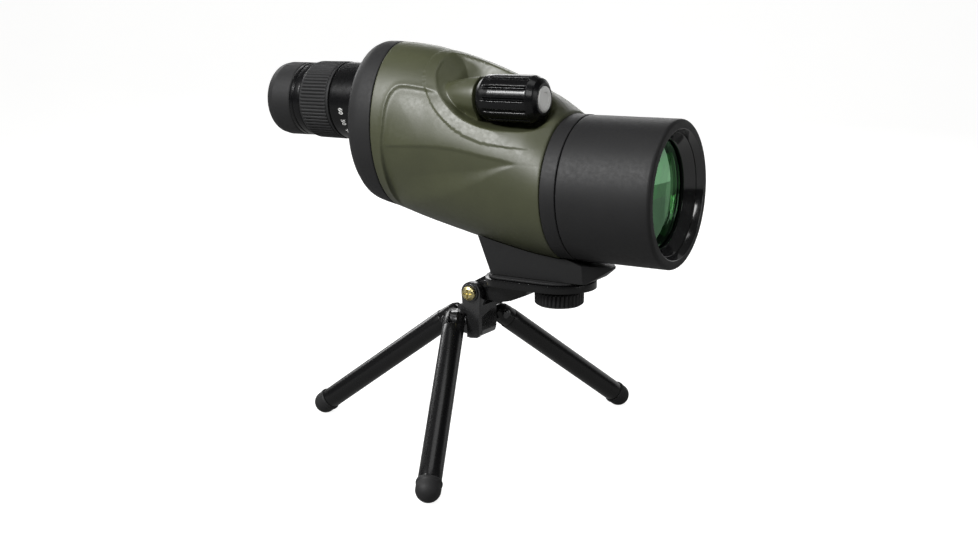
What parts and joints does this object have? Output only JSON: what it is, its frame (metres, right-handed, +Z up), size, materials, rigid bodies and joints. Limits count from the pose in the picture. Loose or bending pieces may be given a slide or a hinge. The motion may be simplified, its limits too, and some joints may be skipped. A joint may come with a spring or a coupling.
{
  "type": "spotting scope",
  "caption": "Compact straight-through spotting scope with rubber armour, zoom eyepiece, side focus knob and sliding sunshade on a folding table tripod with a tilting head.",
  "frame": {"origin": "centre of the bounding box at table level", "axes": "+X towards the objective end along the optical axis, +Y to the left of a person looking through the eyepiece, +Z up"},
  "size_m": [0.2254, 0.1801, 0.1995],
  "materials": {
    "armour": "satin olive green rubber armour",
    "black_rubber": "matte black rubber",
    "shade_black": "fine matte black paint",
    "gloss_black": "gloss black moulded plastic",
    "black_plastic": "fine-textured black plastic",
    "coated_glass": "green anti-reflection coating",
    "prism_glass": "polished prism glass",
    "brass": "yellow zinc plate",
    "steel": "bright zinc plate",
    "silver": "satin silver",
    "anodised": "black anodised",
    "black_enamel": "gloss black enamel"
  },
  "bodies": {
    "tripod_hub": {"tripod_hub": "black_enamel", "tilt_screw": "brass", "tilt_washer": "steel", "tilt_nut": "steel"},
    "tilt_head": {"platform": "black_enamel", "platform_pad": "black_rubber"},
    "mount_knob": {"mount_knob": "black_plastic", "mount_screw": "steel"},
    "scope": {"rubber_armour": "armour", "main_housing": "black_plastic", "rear_bulkhead": "black_plastic", "rear_cover": "black_rubber", "collar_ring": "shade_black", "objective_barrel": "black_plastic", "retaining_ring": "gloss_black", "objective_cell": "anodised", "objective_crown_lens": "coated_glass", "objective_flint_lens": "coated_glass", "erecting_prism_rear": "prism_glass", "erecting_prism_front": "prism_glass", "prism_plate": "anodised", "prism_clip_rear": "steel", "prism_clip_front": "steel", "focus_bushing": "brass", "focus_guide_rod": "steel", "eyepiece_base": "gloss_black", "ocular_head": "gloss_black", "eye_lens": "coated_glass", "eyecup": "black_rubber", "mount_foot": "black_plastic", "thread_insert": "brass"},
    "sunshade": {"sunshade": "shade_black"},
    "focus_knob": {"focus_knob": "gloss_black", "focus_knob_cap": "silver", "focus_spindle": "brass"},
    "focus_carriage": {"focus_carriage": "anodised", "focus_lens": "coated_glass"},
    "zoom_ring": {"zoom_grip": "black_rubber", "zoom_sleeve": "black_plastic", "zoom_cam_tube": "brass", "zoom_drive_pin": "steel"},
    "zoom_front_group": {"zoom_front_cell": "anodised", "zoom_front_lens": "coated_glass"},
    "zoom_rear_group": {"zoom_rear_cell": "anodised", "zoom_rear_lens": "coated_glass"},
    "leg_front": {"leg_front_fork": "gloss_black", "leg_front_tube": "black_enamel", "leg_front_foot": "black_rubber", "leg_front_rivet": "steel"},
    "leg_right": {"leg_right_fork": "gloss_black", "leg_right_tube": "black_enamel", "leg_right_foot": "black_rubber", "leg_right_rivet": "steel"},
    "leg_left": {"leg_left_fork": "gloss_black", "leg_left_tube": "black_enamel", "leg_left_foot": "black_rubber", "leg_left_rivet": "steel"}
  },
  "joints": [
    {"name": "leg_front_fold", "type": "hinge", "parent": "tripod_hub", "child": "leg_front", "pos_m": [0.0004, -0.0124, 0.0635], "axis": [0.9157, 0.4019, 0], "range_deg": [0, 53]},
    {"name": "leg_right_fold", "type": "hinge", "parent": "tripod_hub", "child": "leg_right", "pos_m": [0.0117, 0.0138, 0.0635], "axis": [-0.898, 0.4399, 0], "range_deg": [0, 53]},
    {"name": "leg_left_fold", "type": "hinge", "parent": "tripod_hub", "child": "leg_left", "pos_m": [-0.0078, -0.0002, 0.0635], "axis": [0.1132, -0.9936, 0], "range_deg": [0, 53]},
    {"name": "head_tilt", "type": "hinge", "parent": "tripod_hub", "child": "tilt_head", "pos_m": [0.0087, -0.0002, 0.078], "axis": [0, -1, 0], "range_deg": [-20, 45]},
    {"name": "scope_swivel", "type": "hinge", "parent": "tilt_head", "child": "scope", "pos_m": [0.0527, -0.0002, 0.089], "axis": [0, 0, 1], "range_deg": [-180, 180]},
    {"name": "mount_knob_turn", "type": "hinge", "parent": "tilt_head", "child": "mount_knob", "pos_m": [0.0527, -0.0002, 0.08], "axis": [0, 0, 1], "continuous": true},
    {"name": "sunshade_slide", "type": "slide", "parent": "scope", "child": "sunshade", "axis": [1, 0, 0], "range_m": [0, 0.025]},
    {"name": "focus_turn", "type": "hinge", "parent": "scope", "child": "focus_knob", "pos_m": [0.0377, -0.0172, 0.1745], "axis": [1, 0, 0], "range_deg": [-325, 325]},
    {"name": "focus_travel", "type": "slide", "parent": "scope", "child": "focus_carriage", "axis": [1, 0, 0], "range_m": [-0.0036, 0.0036]},
    {"name": "zoom_turn", "type": "hinge", "parent": "scope", "child": "zoom_ring", "pos_m": [-0.0773, -0.0002, 0.169], "axis": [1, 0, 0], "range_deg": [0, 180]},
    {"name": "zoom_front_travel", "type": "slide", "parent": "scope", "child": "zoom_front_group", "axis": [1, 0, 0], "range_m": [-0.0001, 0.0061]},
    {"name": "zoom_rear_travel", "type": "slide", "parent": "scope", "child": "zoom_rear_group", "axis": [1, 0, 0], "range_m": [-0.0001, 0.0051]}
  ],
  "couplings": [
    {"joint": "focus_turn", "follows": "focus_travel", "rad_per_m": 1570.8},
    {"joint": "zoom_front_travel", "follows": "zoom_turn", "m_per_rad": 0.0019099},
    {"joint": "zoom_rear_travel", "follows": "zoom_turn", "m_per_rad": 0.0015915}
  ]
}
